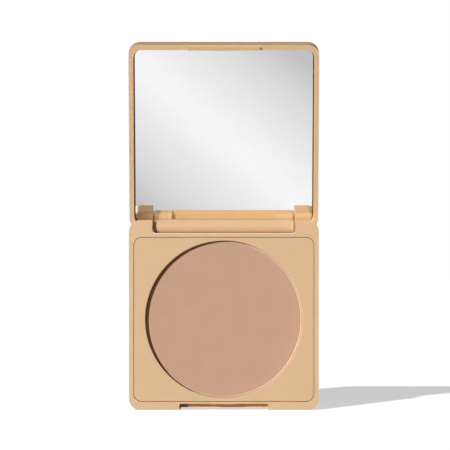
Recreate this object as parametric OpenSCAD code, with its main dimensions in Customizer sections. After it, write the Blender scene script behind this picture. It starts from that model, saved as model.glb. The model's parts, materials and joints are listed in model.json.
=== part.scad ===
// Square powder compact: a pressed-powder pan in a hinged case with a mirror in its lid.
// It stands on the front edge of its base, lid open. +Z runs from that edge up to the hinge,
// and the powder and the mirror face -Y. Millimetres.

/* [Case] */
// Width and depth of the closed case
case_w = 72.6; // [72:0.1:76]
// Thickness of the base
base_h = 10.5; // [10.5:0.1:12]
// Thickness of the lid
lid_h = 6.8; // [6.6:0.1:9]
// Radius of the case's four corners
corner_r = 4.4; // [4:0.1:6]
// Rounding of the base's lower edges
base_round = 3; // [2:0.1:3.4]
// Rounding of the lid's upper edges
lid_round = 1.4; // [0.4:0.1:2]
// How far the lid is open in the stored pose, in degrees
lid_open = 165; // [150:1:168]

/* [Hinge] */
// Distance from the case's rear face to the hinge axis
axis_inset = 2.5; // [2.4:0.05:2.8]
// Distance from the base's top face down to the hinge axis
axis_drop = 5; // [4.9:0.05:5.1]
// Radius of the lid's hinge barrel
barrel_r = 2.5; // [2.2:0.05:2.5]
// Width of the opening between the base's two knuckles
hinge_gap_w = 54.7; // [50:0.1:56]
// Radius of each steel hinge pin
pin_r = 0.75; // [0.6:0.05:0.9]

/* [Pan] */
// Outer diameter of the metal pan
pan_d = 59.4; // [50:0.2:59.4]
// Height of the pan
pan_h = 4.6; // [3.5:0.1:4.6]
// Diameter of the tray's round well
well_d = 60; // [60:0.1:60.4]
// Depth of the powder's face under the tray's face
powder_drop = 2.3; // [2:0.05:2.5]

/* [Mirror] */
// Thickness of the mirror glass
mirror_t = 1.3; // [1:0.1:1.5]
// Depth of the mirror's face under the lid's rim
mirror_drop = 2.4; // [1.2:0.1:2.4]
// Width of the open groove round the mirror
mirror_groove = 0.4; // [0.3:0.05:0.8]

/* [Latch] */
// Width of the thumb notch in the base's front edge
notch_w = 34; // [32:0.5:40]
// Depth of the thumb notch at the base's top face
notch_d = 2.35; // [2.3:0.05:2.5]
// Width of the lid's thumb tab
tab_w = 27.7; // [20:0.1:30]
// How far the thumb tab hangs below the lid's rim
tab_drop = 1.8; // [1.6:0.1:3]

/* [Hidden] */
$fn = 96;
eps = 0.01;
half_w = case_w / 2;

// Hinge axis, in the frame of the closed case lying on its base
axis_y = half_w - axis_inset;
axis_z = base_h - axis_drop;

// Base
base_floor = 1.2;
side_rim = 1.75;
front_rim = 3.15;
rear_rim = 6.5;
pocket_r = 3.1;
pocket_w = case_w - 2 * side_rim;
pocket_y0 = -half_w + front_rim;
pocket_y1 = half_w - rear_rim;
barrel_gap = 0.15;
hinge_gap_d = axis_inset + barrel_r + barrel_gap;
swing_gap = 0.1;
stop_gap = 0.05;
heel_d = 0.6;
ledge_d = 0.8;
ledge_inset = 0.4;
ledge_r = 0.5;
ledge_z = 5;
catch_w = 10;
catch_bite = 0.35;
catch_r = 0.6;
catch_z = 9.75;
pad_h = 0.3;
pad_w = 60;
pad_l = 58;
pad_y = -3;
label_d = 42;
label_t = 0.1;
label_recess = 0.15;

// Tray
tray_gap = 0.2;
tray_w = pocket_w - 2 * tray_gap;
tray_l = pocket_y1 - pocket_y0 - 2 * tray_gap;
tray_y = (pocket_y0 + pocket_y1) / 2;
tray_r = pocket_r - tray_gap;
tray_top = base_h - 0.1;
tray_plate_t = 1.3;
skirt_t = 1;
well_wall = 1;
well_floor_t = 1;
well_edge_r = 0.35;

// Pan, glued a little off the well's centre
pan_t = 0.45;
glue_t = 0.15;
glue_dot_r = 4;
glue_ring_r = 16;
pan_shift = [0.08, 0];
pan_gap = 0.1;
pan_lip = 0.1;
pan_top = tray_top - powder_drop + pan_lip;
pan_bottom = pan_top - pan_h;
well_floor_z = pan_bottom - glue_t;
well_step_z = pan_top - 0.1;

// Lid
parting_gap = 0.15;
rim_z = base_h + parting_gap;
lid_top = rim_z + lid_h;
seam_z = rim_z + 2.3;
seam_gap = 0.08;
lid_rim = 1.85;
lid_front_rim = 2;
lid_pocket_w = case_w - 2 * lid_rim;
lid_pocket_l = case_w - lid_rim - lid_front_rim;
lid_pocket_y = (lid_front_rim - lid_rim) / 2;
lid_pocket_r = 3.3;
mirror_w = lid_pocket_w - 2 * mirror_groove;
mirror_l = lid_pocket_l - 2 * mirror_groove;
mirror_r = 2.7;
mirror_z = rim_z + mirror_drop;
tape_t = 0.3;
tape_w = 62;
tape_r = 2;
frame_plate_t = 1;
frame_inset = 1.15;
frame_gap = 0.1;
frame_plate_z = mirror_z + mirror_t + tape_t;
frame_top = frame_plate_z + frame_plate_t;
cover_t = 1.4;

// Lid's hinge leg and thumb tab
leg_w = hinge_gap_w - 0.5;
barrel_chamfer = 0.5;
leg_foot_z = 0.9;
core_w = 40;
core_z = 0.5;
barrel_bore_r = pin_r + 0.05;
barrel_bore_x = leg_w / 2 - 6.8;
pin_len = 13.8;
pin_sunk = 0.6;
tab_t = notch_d - 0.5;
tab_tip_t = 0.45;
tab_root_inset = 0.65;
tab_rib_w = 7;
tab_rib_r = 0.3;
tab_rib_bite = 0.1;

// Standing pose: the box around the open compact is centred on the origin in Y
open_lean = 180 - lid_open;
tab_tip_y = case_w - axis_inset - tab_t + tab_tip_t;
tab_tip_z = rim_z - axis_z - tab_drop;
front_reach = axis_z + tab_tip_y * sin(open_lean) - tab_tip_z * cos(open_lean);
rear_reach = lid_round - axis_z + (axis_inset - lid_round) * sin(open_lean)
           + (lid_top - axis_z - lid_round) * cos(open_lean);
stand_y = (front_reach - rear_reach) / 2;

// Rectangle with four round corners, centred on the origin
module rounded_rect(w, l, r) {
    x = w / 2;
    y = l / 2;
    polygon([[r - x, -y], [x - r, -y], [x, r - y], [x, y - r],
             [x - r, y], [r - x, y], [-x, y - r], [-x, r - y]]);
    for (sx = [-1, 1], sy = [-1, 1])
        translate([sx * (x - r), sy * (y - r)]) circle(r);
}

// Flat plate with four round corners, from z0 to z1
module plate(w, l, r, z0, z1) {
    translate([0, 0, z0]) linear_extrude(z1 - z0) rounded_rect(w, l, r);
}

// Cross-section of a slab whose two lower edges are rounded
module slab_section(w, h, f) {
    translate([-w / 2, f]) square([w, h - f]);
    translate([f - w / 2, 0]) square([w - 2 * f, h]);
    for (s = [-1, 1]) translate([s * (w / 2 - f), f]) circle(f);
}

// Square slab with round corners and a rounded lower edge all round, standing on z = 0
module soft_slab(w, h, r, f) {
    for (sx = [-1, 1], sy = [-1, 1]) translate([sx * (w / 2 - r), sy * (w / 2 - r), 0])
        rotate_extrude() intersection() {
            slab_section(2 * r, h, f);
            square([r, h]);
        }
    for (a = [0, 90]) rotate([0, 0, a]) rotate([90, 0, 0])
        linear_extrude(w - 2 * r, center = true) slab_section(w, h, f);
}

// Outline of the base seen from the side. Its rear edge is cut back for the lid's rim to swing past,
// is round about the hinge axis below it, and ends in the heel that the open lid's rim lands on.
module base_side_section() {
    rim_r = rim_z - axis_z;
    lean = 180 - lid_open;
    difference() {
        union() {
            translate([-half_w, 0]) square([half_w + axis_y + heel_d, base_h / 2]);
            translate([-half_w, 0]) square([half_w + axis_y, base_h]);
            translate([axis_y, axis_z]) circle(axis_inset);
            intersection() {
                translate([axis_y, axis_z]) circle(rim_r - swing_gap);
                translate([axis_y - eps, axis_z]) square([axis_inset + eps, base_h - axis_z]);
            }
        }
        translate([axis_y, axis_z]) rotate(lean) translate([-half_w, -base_h - rim_r + stop_gap])
            square([case_w, base_h]);
    }
}

// Turns a (y, z) outline into a bar that runs along X
module bar_along_x(len) {
    rotate([90, 0, 90]) linear_extrude(len, center = true) children();
}

module hinge_bore(r, x0, x1) {
    translate([x0, axis_y, axis_z]) rotate([0, 90, 0]) cylinder(r = r, h = x1 - x0);
}

module base_shell() {
    color("burlywood") difference() {
        union() {
            intersection() {
                soft_slab(case_w, base_h, corner_r, base_round);
                bar_along_x(case_w) base_side_section();
            }
            translate([0, pad_y, 0]) plate(pad_w, pad_l, pocket_r, -pad_h, base_floor);
        }
        translate([0, tray_y, 0])
            plate(pocket_w, pocket_y1 - pocket_y0, pocket_r, base_floor, base_h + 1);
        translate([0, pad_y, -pad_h - eps]) cylinder(d = label_d + 0.4, h = label_recess + eps);
        translate([-hinge_gap_w / 2, half_w - hinge_gap_d, -1])
            cube([hinge_gap_w, hinge_gap_d + 1, base_h + 2]);
        translate([0, -half_w, 0]) plate(notch_w - 2 * ledge_inset, 2 * ledge_d, ledge_r, -1, base_h + 1);
        difference() {
            translate([-notch_w / 2, -half_w - 1, ledge_z]) cube([notch_w, notch_d + 1, base_h]);
            translate([-catch_w / 2, -half_w + notch_d + catch_r - catch_bite, catch_z])
                rotate([0, 90, 0]) cylinder(r = catch_r, h = catch_w);
        }
        hinge_bore(pin_r, -half_w - 1, half_w + 1);
    }
}

// Ring that rounds the well's upper edge when it is cut away, from z = 0 up
module well_edge_cut() {
    rotate_extrude() difference() {
        square([well_d / 2 + well_edge_r, 2 * well_edge_r]);
        translate([well_d / 2 + well_edge_r, 0]) circle(well_edge_r);
    }
}

module tray_insert() {
    color("burlywood") translate([0, tray_y, 0]) difference() {
        plate(tray_w, tray_l, tray_r, base_floor, tray_top);
        difference() {
            plate(tray_w - 2 * skirt_t, tray_l - 2 * skirt_t, tray_r - skirt_t,
                  base_floor - 1, tray_top - tray_plate_t);
            cylinder(d = well_d + 2 * well_wall, h = base_h);
        }
        translate([0, 0, well_step_z]) cylinder(d = well_d, h = base_h);
        translate([0, 0, well_floor_z]) cylinder(d = pan_d + 2 * pan_gap, h = base_h);
        translate([0, 0, tray_top - well_edge_r]) well_edge_cut();
        translate([0, 0, base_floor - 1])
            cylinder(d = well_d, h = well_floor_z - well_floor_t - base_floor + 1);
    }
}

module on_pan_centre() {
    translate([pan_shift[0], tray_y + pan_shift[1], 0]) children();
}

module powder_pan() {
    color("silver") on_pan_centre() difference() {
        translate([0, 0, pan_bottom]) cylinder(d = pan_d, h = pan_h);
        translate([0, 0, pan_bottom + pan_t]) cylinder(d = pan_d - 2 * pan_t, h = pan_h);
    }
}

module pan_glue_dots() {
    color("ivory") on_pan_centre() translate([0, 0, well_floor_z]) {
        cylinder(r = glue_dot_r, h = glue_t);
        for (a = [0:90:270]) rotate([0, 0, a]) translate([glue_ring_r, 0, 0])
            cylinder(r = glue_dot_r, h = glue_t);
    }
}

module powder_cake() {
    color("rosybrown") on_pan_centre() translate([0, 0, pan_bottom + pan_t])
        cylinder(d = pan_d - 2 * pan_t, h = pan_h - pan_t - pan_lip);
}

module base_label() {
    color("white") translate([0, pad_y, label_recess - pad_h - label_t]) cylinder(d = label_d, h = label_t);
}

module hinge_pin() {
    color("silver") hinge_bore(pin_r, half_w - pin_sunk - pin_len, half_w - pin_sunk);
}

// The leg that joins the lid's rear rim to the barrel, seen from the side with the hinge axis at the origin
module leg_section() {
    polygon([[lid_rim - axis_inset, 0], [-barrel_r + 0.02, 0], [-axis_inset, leg_foot_z],
             [-axis_inset, rim_z - axis_z + 1], [lid_rim - axis_inset, rim_z - axis_z + 1]]);
}

// Barrel round the hinge axis, with a chamfer at each end
module hinge_barrel() {
    x1 = leg_w / 2;
    x0 = x1 - barrel_chamfer;
    hinge_bore(barrel_r, -x0, x0);
    for (s = [0, 180]) translate([0, axis_y, axis_z]) rotate([s, 0, s]) rotate([0, 90, 0])
        translate([0, 0, x0 - eps])
            cylinder(r1 = barrel_r, r2 = barrel_r - barrel_chamfer, h = barrel_chamfer + eps);
}

module hinge_leg() {
    difference() {
        union() {
            hinge_barrel();
            translate([0, axis_y, axis_z]) bar_along_x(leg_w - 2 * barrel_chamfer)
                mirror([1, 0]) leg_section();
        }
        translate([-core_w / 2, axis_y - 2 * barrel_r, axis_z + core_z])
            cube([core_w, 2 * barrel_r + axis_inset - lid_rim, 2 * barrel_r]);
    }
}

// Wedge-shaped tab under the lid's front rim, with a short rib inside its tip
module thumb_tab() {
    tip_z = rim_z - tab_drop;
    translate([0, -half_w, 0]) bar_along_x(tab_w)
        polygon([[tab_root_inset, rim_z + 1], [tab_root_inset, rim_z], [tab_t - tab_tip_t, tip_z],
                 [tab_t, tip_z], [tab_t, rim_z + 1]]);
    translate([-tab_rib_w / 2, tab_t - half_w + tab_rib_bite - tab_rib_r, tip_z + tab_rib_r])
        rotate([0, 90, 0]) cylinder(r = tab_rib_r, h = tab_rib_w);
}

module lid_frame() {
    frame_w = case_w - 2 * frame_inset;
    color("burlywood") difference() {
        union() {
            plate(case_w, case_w, corner_r, rim_z, seam_z);
            plate(frame_w, frame_w, corner_r - frame_inset, seam_z - eps, frame_top);
            hinge_leg();
            thumb_tab();
        }
        translate([0, lid_pocket_y, 0])
            plate(lid_pocket_w, lid_pocket_l, lid_pocket_r, rim_z - eps, frame_plate_z);
        hinge_bore(barrel_bore_r, barrel_bore_x, half_w);
        hinge_bore(barrel_bore_r, -half_w, -barrel_bore_x);
    }
}

module lid_cover() {
    cavity_w = case_w - 2 * (frame_inset - frame_gap);
    color("burlywood") difference() {
        translate([0, 0, lid_top]) mirror([0, 0, 1])
            soft_slab(case_w, lid_top - seam_z - seam_gap, corner_r, lid_round);
        plate(cavity_w, cavity_w, corner_r - frame_inset + frame_gap, seam_z - 1, lid_top - cover_t);
    }
}

module mirror_tape() {
    color("gray") translate([0, lid_pocket_y, 0])
        plate(tape_w, tape_w, tape_r, mirror_z + mirror_t, frame_plate_z);
}

module mirror_glass() {
    color("lightgray") translate([0, lid_pocket_y, 0])
        plate(mirror_w, mirror_l, mirror_r, mirror_z, mirror_z + mirror_t);
}

// Stands the lying case on its front edge
module standing() {
    translate([0, stand_y, half_w]) rotate([90, 0, 0]) children();
}

// Swings the lid's pieces open about the hinge axis
module opened() {
    standing() translate([0, axis_y, axis_z]) rotate([-lid_open, 0, 0])
        translate([0, -axis_y, -axis_z]) children();
}

standing() base_shell();
standing() tray_insert();
standing() powder_pan();
standing() pan_glue_dots();
standing() powder_cake();
standing() base_label();
standing() mirror([1, 0, 0]) hinge_pin();  // hinge_pin_left
standing() hinge_pin();  // hinge_pin_right
opened() lid_frame();
opened() lid_cover();
opened() mirror_tape();
opened() mirror_glass();
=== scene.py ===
"""Looks of a square powder compact: satin plastic case, pressed powder, mirror, and a plain studio.

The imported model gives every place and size. Metres, Z up; the powder and the mirror face -Y.
"""

import json
import math

import bmesh
import bpy
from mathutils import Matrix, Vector

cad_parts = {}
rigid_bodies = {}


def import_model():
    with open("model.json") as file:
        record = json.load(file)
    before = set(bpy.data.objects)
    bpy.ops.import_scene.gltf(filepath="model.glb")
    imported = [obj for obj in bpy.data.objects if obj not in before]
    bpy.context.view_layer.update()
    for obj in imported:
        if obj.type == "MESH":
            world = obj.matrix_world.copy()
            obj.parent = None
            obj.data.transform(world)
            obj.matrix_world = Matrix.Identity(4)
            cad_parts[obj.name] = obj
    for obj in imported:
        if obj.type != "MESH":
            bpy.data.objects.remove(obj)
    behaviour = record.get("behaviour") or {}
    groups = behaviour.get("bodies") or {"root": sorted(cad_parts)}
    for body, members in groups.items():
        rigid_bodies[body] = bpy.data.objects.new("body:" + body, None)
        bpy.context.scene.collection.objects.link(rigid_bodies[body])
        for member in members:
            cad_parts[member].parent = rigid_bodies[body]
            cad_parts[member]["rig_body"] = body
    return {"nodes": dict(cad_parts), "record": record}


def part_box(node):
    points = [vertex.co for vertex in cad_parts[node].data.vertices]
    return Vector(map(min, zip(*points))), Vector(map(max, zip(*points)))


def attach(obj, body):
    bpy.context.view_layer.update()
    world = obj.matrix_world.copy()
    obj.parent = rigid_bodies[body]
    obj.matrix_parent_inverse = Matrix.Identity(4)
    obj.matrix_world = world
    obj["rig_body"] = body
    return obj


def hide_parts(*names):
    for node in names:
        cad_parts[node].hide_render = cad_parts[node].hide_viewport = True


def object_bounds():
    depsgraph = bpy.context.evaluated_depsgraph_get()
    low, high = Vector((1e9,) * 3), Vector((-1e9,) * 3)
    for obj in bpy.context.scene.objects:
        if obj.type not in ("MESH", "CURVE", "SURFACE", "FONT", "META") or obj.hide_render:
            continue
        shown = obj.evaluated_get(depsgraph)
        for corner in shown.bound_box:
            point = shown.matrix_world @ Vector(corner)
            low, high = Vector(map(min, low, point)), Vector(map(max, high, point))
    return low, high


MM = 0.001

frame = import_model()
NODES = frame["nodes"]
CAD_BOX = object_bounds()
JOINT = frame["record"]["behaviour"]["joints"][0]
LID_LEAN = math.radians(180 - JOINT["range_deg"][1])
MIRROR_OUT = Vector((0, -math.cos(LID_LEAN), -math.sin(LID_LEAN)))
MIRROR_UP = Vector((0, -math.sin(LID_LEAN), math.cos(LID_LEAN)))


# ---------------------------------------------------------------- materials

def set_stops(ramp, stops):
    """Gives a new colour ramp its (position, colour) stops."""
    for element, (position, colour) in zip(ramp.elements, (stops[0], stops[-1])):
        element.position = position
        element.color = (*colour, 1.0)
    for position, colour in stops[1:-1]:
        ramp.elements.new(position).color = (*colour, 1.0)


class Shader:
    """A new material with a Principled shader, and short ways to add nodes to it."""

    def __init__(self, name, colour, roughness, **constants):
        self.material = bpy.data.materials.new(name)
        self.material.use_nodes = True
        self.tree = self.material.node_tree
        self.principled = self.tree.nodes["Principled BSDF"]
        self.set("Base Color", (*colour, 1.0))
        self.set("Roughness", roughness)
        for socket, value in constants.items():
            self.set(socket.replace("_", " "), value)
        self.place = self.add("ShaderNodeTexCoord").outputs["Object"]

    def set(self, socket, value):
        self.principled.inputs[socket].default_value = value

    def add(self, kind, **settings):
        node = self.tree.nodes.new(kind)
        for name, value in settings.items():
            setattr(node, name, value)
        return node

    def link(self, out, into):
        self.tree.links.new(out, into)

    def noise(self, size, detail=2.0, rough=0.5, where=None):
        """Noise whose blotches are about size metres across."""
        node = self.add("ShaderNodeTexNoise")
        node.inputs["Scale"].default_value = 1.0 / size
        node.inputs["Detail"].default_value = detail
        node.inputs["Roughness"].default_value = rough
        self.link(where or self.place, node.inputs["Vector"])
        return node.outputs["Fac"]

    def spread(self, fac, low, high, start=0.3, end=0.7):
        """Maps a 0 to 1 value onto a range."""
        node = self.add("ShaderNodeMapRange")
        for socket, value in (("From Min", start), ("From Max", end), ("To Min", low), ("To Max", high)):
            node.inputs[socket].default_value = value
        self.link(fac, node.inputs["Value"])
        return node.outputs["Result"]

    def ramp(self, fac, *stops):
        """Colour ramp of (position, colour) stops into the base colour."""
        node = self.add("ShaderNodeValToRGB")
        set_stops(node.color_ramp, stops)
        self.link(fac, node.inputs["Fac"])
        return node.outputs["Color"]

    def base(self, out):
        self.link(out, self.principled.inputs["Base Color"])

    def rough(self, out):
        self.link(out, self.principled.inputs["Roughness"])

    def bump(self, height, depth, strength=1.0, under=None):
        """Adds a bump of the given depth in metres, over another bump if one is given."""
        node = self.add("ShaderNodeBump")
        node.inputs["Distance"].default_value = depth
        node.inputs["Strength"].default_value = strength
        self.link(height, node.inputs["Height"])
        if under:
            self.link(under, node.inputs["Normal"])
        self.link(node.outputs["Normal"], self.principled.inputs["Normal"])
        return node.outputs["Normal"]


def shade(colour, factor):
    return tuple(min(1.0, c * factor) for c in colour)


def moulded_plastic(name, colour, roughness=0.42):
    """Satin injection-moulded plastic: faint flow streaks, uneven gloss and a fine spark-eroded grain."""
    s = Shader(name, colour, roughness, Specular_IOR_Level=0.27, Subsurface_Weight=0.3,
               Subsurface_Scale=1.0 * MM, Subsurface_Radius=(1.0, 0.45, 0.2))
    stretch = s.add("ShaderNodeMapping")
    stretch.inputs["Scale"].default_value = (1.0, 1.0, 0.25)
    s.link(s.place, stretch.inputs["Vector"])
    flow = s.noise(14 * MM, detail=3.0, where=stretch.outputs["Vector"])
    s.base(s.ramp(flow, (0.3, shade(colour, 0.985)), (0.7, shade(colour, 1.015))))
    s.rough(s.spread(s.noise(2.5 * MM, detail=4.0), roughness - 0.04, roughness + 0.05))
    grain = s.bump(s.noise(0.09 * MM, detail=1.0), 0.004 * MM, 0.5)
    s.bump(s.noise(6 * MM, detail=1.0), 0.02 * MM, 0.12, under=grain)
    return s.material


def pressed_powder(name, colour):
    """Matte pressed powder: fine grains, soft pressing marks and flecks of slightly different pigment."""
    s = Shader(name, colour, 0.95, Specular_IOR_Level=0.2, Sheen_Weight=0.15, Sheen_Roughness=0.6)
    patches = s.noise(9 * MM, detail=4.0, rough=0.6)
    grains = s.noise(0.16 * MM, detail=3.0, rough=0.7)
    mix = s.add("ShaderNodeMath", operation="MULTIPLY_ADD")
    mix.inputs[1].default_value = 0.45
    s.link(grains, mix.inputs[0])
    halved = s.add("ShaderNodeMath", operation="MULTIPLY")
    halved.inputs[1].default_value = 0.55
    s.link(patches, halved.inputs[0])
    s.link(halved.outputs[0], mix.inputs[2])
    s.base(s.ramp(mix.outputs[0], (0.32, shade(colour, 0.95)), (0.5, colour), (0.68, shade(colour, 1.05))))
    fine = s.bump(s.noise(0.12 * MM, detail=4.0, rough=0.75), 0.02 * MM, 0.6)
    s.bump(s.noise(1.1 * MM, detail=3.0), 0.03 * MM, 0.4, under=fine)
    return s.material


def pan_metal(name):
    """Drawn sheet, dulled by powder dust: fine drawing lines round its wall."""
    s = Shader(name, (0.84, 0.64, 0.53), 0.5, Metallic=0.25)
    rings = s.add("ShaderNodeTexWave", wave_type="RINGS", rings_direction="Y")
    rings.inputs["Scale"].default_value = 900.0
    rings.inputs["Distortion"].default_value = 1.5
    s.link(s.place, rings.inputs["Vector"])
    s.rough(s.spread(rings.outputs["Fac"], 0.44, 0.58, 0.0, 1.0))
    s.bump(s.noise(0.3 * MM, detail=3.0), 0.003 * MM, 0.4)
    return s.material


def pin_steel(name):
    s = Shader(name, (0.60, 0.60, 0.62), 0.28, Metallic=1.0)
    s.rough(s.spread(s.noise(0.4 * MM, detail=3.0), 0.22, 0.36))
    s.bump(s.noise(0.15 * MM), 0.003 * MM, 0.4)
    return s.material


def silvered_glass(name):
    """The mirror's face: silver behind clear glass, with the faintest waviness."""
    colour = (0.965, 0.962, 0.962)
    s = Shader(name, colour, 0.0, Metallic=1.0)
    s.base(s.ramp(s.noise(9 * MM, detail=2.0), (0.3, shade(colour, 0.995)), (0.7, shade(colour, 1.005))))
    s.bump(s.noise(20 * MM, detail=0.0), 0.001 * MM, 0.2)
    return s.material


def edge_glass_painted_shade(name):
    """The mirror's ground edge: dark glass whose tan is painted shade and painted reflection of the tan groove
    round the mirror.
    """
    colour = (0.16, 0.095, 0.055)
    s = Shader(name, colour, 0.25, Specular_IOR_Level=0.6)
    s.base(s.ramp(s.noise(0.5 * MM, detail=3.0), (0.35, shade(colour, 0.85)), (0.65, shade(colour, 1.15))))
    s.bump(s.noise(0.1 * MM, detail=3.0), 0.01 * MM, 0.5)
    return s.material


def sticker_paper(name):
    colour = (0.86, 0.84, 0.79)
    s = Shader(name, colour, 0.6, Specular_IOR_Level=0.35)
    s.base(s.ramp(s.noise(0.8 * MM, detail=4.0), (0.35, shade(colour, 0.97)), (0.65, shade(colour, 1.02))))
    s.bump(s.noise(0.12 * MM, detail=4.0, rough=0.7), 0.006 * MM, 0.5)
    return s.material


def hot_glue(name):
    colour = (0.80, 0.74, 0.58)
    s = Shader(name, colour, 0.3, Subsurface_Weight=0.3, Subsurface_Scale=0.5 * MM)
    s.base(s.ramp(s.noise(1.5 * MM, detail=2.0), (0.35, shade(colour, 0.92)), (0.65, shade(colour, 1.06))))
    s.bump(s.noise(0.8 * MM), 0.02 * MM, 0.5)
    return s.material


def foam_tape(name):
    colour = (0.42, 0.42, 0.41)
    s = Shader(name, colour, 0.85)
    s.base(s.ramp(s.noise(0.4 * MM, detail=4.0), (0.35, shade(colour, 0.8)), (0.65, shade(colour, 1.15))))
    s.bump(s.noise(0.2 * MM, detail=3.0), 0.03 * MM, 0.6)
    return s.material


PEACH = (0.735, 0.511, 0.309)
CASE = moulded_plastic("case_plastic", PEACH)
TRAY = moulded_plastic("tray_plastic", shade(PEACH, 0.97))
POWDER = pressed_powder("pressed_powder", (0.560, 0.345, 0.235))
PAN = pan_metal("pan_metal")
STEEL = pin_steel("pin_steel")
SILVER = silvered_glass("mirror_silver")
# The mirror edge's dark tan is painted shade: the brown shade of the groove round the mirror, put into the
# glass colour.
EDGE_PAINTED_SHADE = edge_glass_painted_shade("mirror_edge_painted_shade")
PAPER = sticker_paper("label_paper")
GLUE = hot_glue("pan_glue")
FOAM = foam_tape("mirror_foam")


# ---------------------------------------------------------------- pieces

def paint(obj, material):
    """Gives the whole object one material."""
    obj.data.materials.clear()
    obj.data.materials.append(material)


def add_piece(name, mesh, node, *materials):
    """A finished mesh as a piece that stands for a CAD node and moves with it."""
    obj = bpy.data.objects.new(name, mesh)
    bpy.context.scene.collection.objects.link(obj)
    for material in materials:
        mesh.materials.append(material)
    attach(obj, NODES[node]["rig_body"])
    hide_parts(node)
    return obj


def baked(obj, name):
    """The object's mesh with its modifiers applied, as a new mesh."""
    evaluated = obj.evaluated_get(bpy.context.evaluated_depsgraph_get())
    mesh = bpy.data.meshes.new_from_object(evaluated)
    mesh.name = name
    bpy.data.objects.remove(obj)
    return mesh


def joined_faces(node):
    """A CAD node's mesh as a bmesh, its points merged and each flat face one polygon again."""
    bm = bmesh.new()
    bm.from_mesh(NODES[node].data)
    bmesh.ops.remove_doubles(bm, verts=bm.verts, dist=0.002 * MM)
    bmesh.ops.dissolve_limit(bm, angle_limit=math.radians(0.2), verts=bm.verts, edges=bm.edges)
    return bm


def softened(node, name, width, *materials, segments=3):
    """A CAD node with its sharp moulded edges broken by a small round, as a piece."""
    bm = joined_faces(node)
    mesh = bpy.data.meshes.new(name)
    bm.to_mesh(mesh)
    bm.free()
    mesh.materials.clear()
    work = bpy.data.objects.new(name + "_work", mesh)
    bpy.context.scene.collection.objects.link(work)
    bevel = work.modifiers.new("edges", "BEVEL")
    bevel.width = width
    bevel.segments = segments
    bevel.limit_method = "ANGLE"
    bevel.angle_limit = math.radians(28)
    bevel.use_clamp_overlap = True
    bevel.miter_outer = "MITER_ARC"
    bevel.harden_normals = False
    smooth(work.data)
    final = baked(work, name)
    final.materials.clear()
    smooth(final)
    return add_piece(name, evened(final, name), node, *materials)


def evened(mesh, name):
    """The mesh with its large flat faces shaded flat, up to the small rounds at their edges."""
    work = bpy.data.objects.new(name + "_work", mesh)
    bpy.context.scene.collection.objects.link(work)
    weigh = work.modifiers.new("even", "WEIGHTED_NORMAL")
    weigh.mode = "FACE_AREA"
    weigh.weight = 100
    weigh.keep_sharp = True
    return baked(work, name)


def smooth(mesh):
    """Smooth shading, with the edges sharper than 40 degrees kept sharp."""
    mesh.polygons.foreach_set("use_smooth", [True] * len(mesh.polygons))
    mesh.set_sharp_from_angle(angle=math.radians(40))


def lathe(name, profile, centre, steps=256):
    """A closed solid turned about an axis along Y through centre, from (radius, y) points."""
    bm = bmesh.new()
    rings = []
    for radius, y in profile:
        if radius == 0:
            rings.append([bm.verts.new((centre.x, y, centre.z))])
            continue
        angles = (2 * math.pi * k / steps for k in range(steps))
        rings.append([bm.verts.new((centre.x + radius * math.cos(a), y, centre.z + radius * math.sin(a)))
                      for a in angles])
    for inner, outer in zip(rings, rings[1:]):
        for k in range(steps):
            corners = [inner[k % len(inner)], inner[(k + 1) % steps % len(inner)],
                       outer[(k + 1) % steps % len(outer)], outer[k % len(outer)]]
            bm.faces.new(list(dict.fromkeys(corners)))
    bmesh.ops.recalc_face_normals(bm, faces=bm.faces)
    mesh = bpy.data.meshes.new(name)
    bm.to_mesh(mesh)
    bm.free()
    smooth(mesh)
    return mesh


def arc(cx, cy, radius, start, end, steps=6):
    """Points of an arc in the (radius, y) plane, angles in degrees."""
    turns = (math.radians(start + (end - start) * k / steps) for k in range(steps + 1))
    return [(cx + radius * math.cos(t), cy + radius * math.sin(t)) for t in turns]


def make_powder():
    """The powder: a disc whose face dips very slightly, with its rim crumbled round where it meets the pan."""
    low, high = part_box("powder_cake")
    centre = (low + high) / 2
    radius = (high.x - low.x) / 2
    edge = 0.35 * MM
    dip = 0.06 * MM
    face = [(radius * k / 24 * 0.98, low.y + dip * (1 - (k / 24) ** 2)) for k in range(1, 25)]
    rim = arc(radius - edge, low.y + edge, edge, -88, 0)
    flat = [(0, low.y + dip)] + [p for p in face if p[0] < radius - edge]
    profile = flat + rim + [(radius, high.y), (0, high.y)]
    return add_piece("powder_pressed", lathe("powder_pressed", profile, centre), "powder_cake", POWDER)


def make_pan():
    """The pan: a drawn metal dish with a rolled lip and a rounded foot."""
    low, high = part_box("powder_pan")
    centre = (low + high) / 2
    radius = (high.x - low.x) / 2
    inner_low, inner_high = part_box("powder_cake")
    wall = radius - (inner_high.x - inner_low.x) / 2
    foot = 1.2 * MM
    lip = wall / 2
    outside = [(0, high.y)] + arc(radius - foot, high.y - foot, foot, 90, 0)
    top = arc(radius - lip, low.y + lip, lip, 0, -180, steps=10)
    inside = arc(radius - foot, high.y - foot, foot - wall, 0, 90) + [(0, high.y - wall)]
    dish = lathe("powder_pan_drawn", outside + top + inside, centre)
    return add_piece("powder_pan_drawn", dish, "powder_pan", PAN)


def make_mirror():
    """The mirror: the CAD slab with a ground bevel, silver on its face and, at its edge, glass coloured dark
    tan as painted shade of the groove.
    """
    obj = softened("mirror_glass", "mirror_glass_ground", 0.1 * MM, SILVER, EDGE_PAINTED_SHADE, segments=1)
    for face in obj.data.polygons:
        face.material_index = 0 if face.normal.dot(MIRROR_OUT) > 0.99 else 1
        face.use_smooth = False
    return obj


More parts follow.
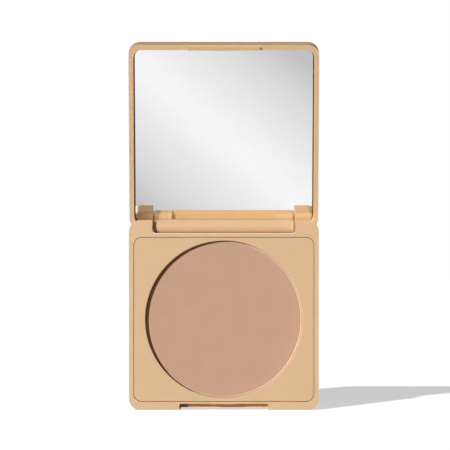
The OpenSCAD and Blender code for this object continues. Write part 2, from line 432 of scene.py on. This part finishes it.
softened("base_shell", "base_shell_moulding", 0.12 * MM, CASE)
softened("tray_insert", "tray_insert_moulding", 0.1 * MM, TRAY)
softened("lid_frame", "lid_frame_moulding", 0.3 * MM, CASE)
softened("lid_cover", "lid_cover_moulding", 0.2 * MM, CASE)
make_powder()
make_pan()
make_mirror()
softened("hinge_pin_left", "hinge_pin_left_wire", 0.15 * MM, STEEL, segments=2)
softened("hinge_pin_right", "hinge_pin_right_wire", 0.15 * MM, STEEL, segments=2)
softened("base_label", "base_label_sticker", 0.03 * MM, PAPER, segments=1)
paint(NODES["pan_glue_dots"], GLUE)
paint(NODES["mirror_tape"], FOAM)


# ---------------------------------------------------------------- studio

def quad(name, width, depth, material):
    """A flat stage rectangle centred on its own origin."""
    x = width / 2
    y = depth / 2
    mesh = bpy.data.meshes.new(name)
    mesh.from_pydata([(-x, -y, 0), (x, -y, 0), (x, y, 0), (-x, y, 0)], [], [(0, 1, 2, 3)])
    mesh.materials.append(material)
    obj = bpy.data.objects.new(name, mesh)
    bpy.context.scene.collection.objects.link(obj)
    return obj


def make_floor():
    """Plain white floor, which glows a little so that it meets the white backdrop without a line."""
    material = bpy.data.materials.new("floor_white")
    material.use_nodes = True
    tree = material.node_tree
    shader = tree.nodes["Principled BSDF"]
    shader.inputs["Base Color"].default_value = (0.8, 0.8, 0.8, 1.0)
    shader.inputs["Roughness"].default_value = 1.0
    shader.inputs["Specular IOR Level"].default_value = 0.0
    shader.inputs["Emission Color"].default_value = FLOOR_TINT
    glow = tree.nodes.new("ShaderNodeMath")
    glow.operation = "MULTIPLY"
    glow.inputs[1].default_value = FLOOR_GLOW
    tree.links.new(tree.nodes.new("ShaderNodeLightPath").outputs["Is Camera Ray"], glow.inputs[0])
    tree.links.new(glow.outputs[0], shader.inputs["Emission Strength"])
    floor = quad("floor", 8.0, 8.0, material)
    floor.visible_diffuse = False
    floor.visible_glossy = False
    return floor


def straight_from_mirror(tree):
    """1 for a ray that the camera sends by way of the mirror alone, and 0 for any other."""
    path = tree.nodes.new("ShaderNodeLightPath")
    early = tree.nodes.new("ShaderNodeMath")
    early.operation = "LESS_THAN"
    early.inputs[1].default_value = 1.5
    tree.links.new(path.outputs["Ray Depth"], early.inputs[0])
    both = tree.nodes.new("ShaderNodeMath")
    both.operation = "MULTIPLY"
    tree.links.new(path.outputs["Is Singular Ray"], both.inputs[0])
    tree.links.new(early.outputs[0], both.inputs[1])
    return both.outputs[0]


def make_reflected_card():
    """A card on the floor in front, seen only in the mirror: pale along a diagonal, grey in two corners."""
    material = bpy.data.materials.new("card_glow")
    material.use_nodes = True
    tree = material.node_tree
    tree.nodes.clear()
    place = tree.nodes.new("ShaderNodeTexCoord")
    across = tree.nodes.new("ShaderNodeVectorMath")
    across.operation = "DOT_PRODUCT"
    across.inputs[1].default_value = (1 / CARD_HALF_BAND.x, -1 / CARD_HALF_BAND.y, 0.0)
    tree.links.new(place.outputs["Object"], across.inputs[0])
    spread = tree.nodes.new("ShaderNodeMapRange")
    spread.inputs["From Min"].default_value = -1.0
    spread.inputs["From Max"].default_value = 1.0
    tree.links.new(across.outputs["Value"], spread.inputs["Value"])
    ramp = tree.nodes.new("ShaderNodeValToRGB")
    set_stops(ramp.color_ramp, [(position, (grey, grey, grey)) for position, grey in CARD_STOPS])
    tree.links.new(spread.outputs["Result"], ramp.inputs["Fac"])
    glow = tree.nodes.new("ShaderNodeEmission")
    tree.links.new(ramp.outputs["Color"], glow.inputs["Color"])
    mix = tree.nodes.new("ShaderNodeMixShader")
    tree.links.new(straight_from_mirror(tree), mix.inputs[0])
    tree.links.new(tree.nodes.new("ShaderNodeBsdfTransparent").outputs["BSDF"], mix.inputs[1])
    tree.links.new(glow.outputs["Emission"], mix.inputs[2])
    out = tree.nodes.new("ShaderNodeOutputMaterial")
    tree.links.new(mix.outputs["Shader"], out.inputs["Surface"])
    card = quad("reflected_card", 0.6, 0.3, material)
    card.location = CARD_MIDDLE
    card.visible_camera = False
    card.visible_diffuse = False
    card.visible_shadow = False
    card.visible_transmission = False
    return card


def aim(obj, toward, distance):
    """Puts a light in the given direction from the compact's middle, looking back at it."""
    direction = Vector(toward).normalized()
    obj.location = MIDDLE + direction * distance
    obj.rotation_mode = "QUATERNION"
    obj.rotation_quaternion = direction.to_track_quat("Z", "Y")


def add_light(name, kind, toward, energy, colour=(1.0, 1.0, 1.0), distance=1.3):
    data = bpy.data.lights.new(name, kind)
    data.energy = energy
    data.color = colour
    obj = bpy.data.objects.new(name, data)
    bpy.context.scene.collection.objects.link(obj)
    aim(obj, toward, distance)
    return obj


def linked(light, name, state, *objects):
    """A collection of objects that the light reaches only (INCLUDE), or that it leaves out (EXCLUDE)."""
    group = bpy.data.collections.new(light.name + name)
    for obj in objects:
        group.objects.link(obj)
    for member in group.collection_objects:
        member.light_linking.link_state = state
    return group


def leave_out_of_mirror(light):
    """Keeps the light from reaching anything by way of the mirror, where path tracing seldom finds it."""
    light.data.use_nodes = True
    tree = light.data.node_tree
    seen = tree.nodes.new("ShaderNodeMath")
    seen.operation = "SUBTRACT"
    seen.inputs[0].default_value = 1.0
    tree.links.new(tree.nodes.new("ShaderNodeLightPath").outputs["Is Singular Ray"], seen.inputs[1])
    tree.links.new(seen.outputs[0], tree.nodes["Emission"].inputs["Strength"])


def only_shades(obj):
    """Makes a stage object that does nothing but block the lights that are told to mind it."""
    bpy.context.scene.collection.objects.link(obj)
    for ray in ("camera", "diffuse", "glossy", "transmission"):
        setattr(obj, "visible_" + ray, False)
    return obj


def make_flag(name, corner, right, up):
    """A flat flag with an oblong window, from the window's lower left corner and its two edge vectors."""
    out_right = right.normalized() * FLAG_MARGIN
    out_up = up.normalized() * FLAG_MARGIN
    inner = [corner, corner + right, corner + right + up, corner + up]
    outer = [inner[0] - out_right - out_up, inner[1] + out_right - out_up,
             inner[2] + out_right + out_up, inner[3] - out_right + out_up]
    mesh = bpy.data.meshes.new(name)
    mesh.from_pydata(inner + outer, [], [(k, (k + 1) % 4, 4 + (k + 1) % 4, 4 + k) for k in range(4)])
    return only_shades(bpy.data.objects.new(name, mesh))


def make_mirror_flag():
    """The mirror's opening, less the strip that the lid's left rim shades, and the mirror's plane."""
    corners = [v.co for v in NODES["mirror_glass"].data.vertices]
    face = MIRROR_OUT * max(c.dot(MIRROR_OUT) for c in corners)
    bottom = min(c.dot(MIRROR_UP) for c in corners)
    top = max(c.dot(MIRROR_UP) for c in corners)
    right = max(c.x for c in corners)
    corner = face + MIRROR_UP * bottom + Vector((MIRROR_SHADE - right, 0, 0))
    width = Vector((2 * right - MIRROR_SHADE, 0, 0))
    flag = make_flag("mirror_flag", corner, width, MIRROR_UP * (top - bottom))
    return flag, face


def make_rim_shade(face):
    """The part of the lid's frame in front of the mirror, a hair smaller than the frame itself."""
    bm = bmesh.new()
    bm.from_mesh(bpy.data.objects["lid_frame_moulding"].data)
    bmesh.ops.bisect_plane(bm, geom=bm.verts[:] + bm.edges[:] + bm.faces[:], plane_co=face,
                           plane_no=MIRROR_OUT, clear_inner=True)
    bm.normal_update()
    for vert in bm.verts:
        vert.co -= vert.normal * HAIR
    mesh = bpy.data.meshes.new("rim_shade")
    bm.to_mesh(mesh)
    bm.free()
    return only_shades(bpy.data.objects.new("rim_shade", mesh))


def light_hinge():
    """The key light as the mirror throws it on to the hinge, which path tracing alone can't find."""
    toward = Vector(KEY_TOWARD)
    toward -= 2 * toward.dot(MIRROR_OUT) * MIRROR_OUT
    thrown = add_light("thrown_key", "SUN", toward, THROWN, (1.0, 0.94, 0.64))
    thrown.data.angle = KEY_SPREAD
    shell = bpy.data.objects["base_shell_moulding"]
    lid = bpy.data.objects["lid_frame_moulding"]
    flag, face = make_mirror_flag()
    shades = (flag, make_rim_shade(face))
    thrown.light_linking.receiver_collection = linked(thrown, "_lit", "INCLUDE", shell, lid)
    thrown.light_linking.blocker_collection = linked(thrown, "_shading", "INCLUDE", shell, *shades)
    return thrown, shades


def light_notch():
    """The key light as the floor throws it up into the thumb notch, tan from the plastic it grazes."""
    toward = Vector(KEY_TOWARD)
    toward.z = -toward.z
    bounced = add_light("bounced_key", "SUN", toward, BOUNCED, (1.0, 0.66, 0.44))
    bounced.data.angle = KEY_SPREAD
    shell = bpy.data.objects["base_shell_moulding"]
    corner = Vector((-NOTCH_WIDTH / 2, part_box("base_shell")[0].y - HAIR, -NOTCH_FLAG_DROP))
    height = Vector((0, 0, NOTCH_DEPTH + NOTCH_FLAG_DROP))
    flag = make_flag("notch_flag", corner, Vector((NOTCH_WIDTH, 0, 0)), height)
    bounced.light_linking.receiver_collection = linked(bounced, "_lit", "INCLUDE", shell)
    bounced.light_linking.blocker_collection = linked(bounced, "_shading", "INCLUDE", shell, flag)
    return bounced, (flag,)


def make_world():
    """White to the camera and in the mirror, and a weak warm fill for everything else."""
    world = bpy.data.worlds.new("studio")
    bpy.context.scene.world = world
    world.use_nodes = True
    tree = world.node_tree
    path = tree.nodes.new("ShaderNodeLightPath")
    either = tree.nodes.new("ShaderNodeMath")
    either.operation = "MAXIMUM"
    tree.links.new(path.outputs["Is Camera Ray"], either.inputs[0])
    tree.links.new(straight_from_mirror(tree), either.inputs[1])
    colour = tree.nodes.new("ShaderNodeMix")
    colour.data_type = "RGBA"
    tree.links.new(either.outputs[0], colour.inputs["Factor"])
    colour.inputs[6].default_value = FILL
    colour.inputs[7].default_value = (1.0, 1.0, 1.0, 1.0)
    tree.links.new(colour.outputs[2], tree.nodes["Background"].inputs["Color"])


def make_camera():
    """Level with the hinge and square to the base, from far off."""
    data = bpy.data.cameras.new("camera")
    data.sensor_width = 36.0
    data.lens = data.sensor_width * CAMERA_DISTANCE / FRAME_WIDTH
    data.clip_start = 0.05
    data.clip_end = 20.0
    camera = bpy.data.objects.new("camera", data)
    bpy.context.scene.collection.objects.link(camera)
    base_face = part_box("base_shell")[0].y
    camera.location = (0.44 * MM, base_face - CAMERA_DISTANCE, 70.7 * MM)
    camera.rotation_euler = (math.radians(90), 0, 0)
    bpy.context.scene.camera = camera


MIDDLE = (CAD_BOX[0] + CAD_BOX[1]) / 2
CAMERA_DISTANCE = 1.443
FRAME_WIDTH = 0.172
FILL = (0.14, 0.095, 0.063, 1.0)
KEY_TOWARD = (-0.6, -1.0, 0.24)
KEY = 3.42
KEY_SPREAD = math.radians(4)
BACK_TOWARD = (0.5, 1.0, 0.35)
BACK = 13.0
BACK_SIZE = 0.9
FLOOR_TOWARD = (-0.64, -1.53, 1.0)
FLOOR_SUN = 3.6
THROWN = 1.5
BOUNCED = 0.88
NOTCH_WIDTH = 34 * MM
NOTCH_DEPTH = 2.3 * MM
NOTCH_FLAG_DROP = 0.05
FLAG_MARGIN = 0.1
HAIR = 0.05 * MM
MIRROR_SHADE = 5.5 * MM
FLOOR_GLOW = 0.535
FLOOR_TINT = (0.885, 0.955, 1.0, 1.0)
CARD_MIDDLE = (0.0, -0.178, 0.001)
CARD_HALF_BAND = Vector((0.085, 0.15))
CARD_STOPS = ((0.1, 0.53), (0.26, 0.74), (0.51, 0.955), (0.56, 0.955), (0.84, 0.735), (1.0, 0.55))

floor = make_floor()
make_reflected_card()
make_world()
make_camera()
key = add_light("key", "SUN", KEY_TOWARD, KEY, (0.965, 0.99, 1.0))
key.data.angle = KEY_SPREAD
leave_out_of_mirror(key)
key.light_linking.receiver_collection = linked(key, "_floor", "EXCLUDE", floor)
back = add_light("back", "AREA", BACK_TOWARD, BACK)
back.data.size = BACK_SIZE
back.visible_glossy = False
back.light_linking.receiver_collection = linked(back, "_floor", "EXCLUDE", floor)
sun = add_light("floor_sun", "SUN", FLOOR_TOWARD, FLOOR_SUN)
sun.data.angle = math.radians(1.5)
sun.light_linking.receiver_collection = linked(sun, "_floor", "INCLUDE", floor)
thrown, hinge_shades = light_hinge()
bounced, notch_shades = light_notch()
for light in (key, back, sun):
    past = linked(light, "_past_flags", "EXCLUDE", *hinge_shades, *notch_shades)
    light.light_linking.blocker_collection = past
bpy.context.scene.view_settings.view_transform = "Standard"
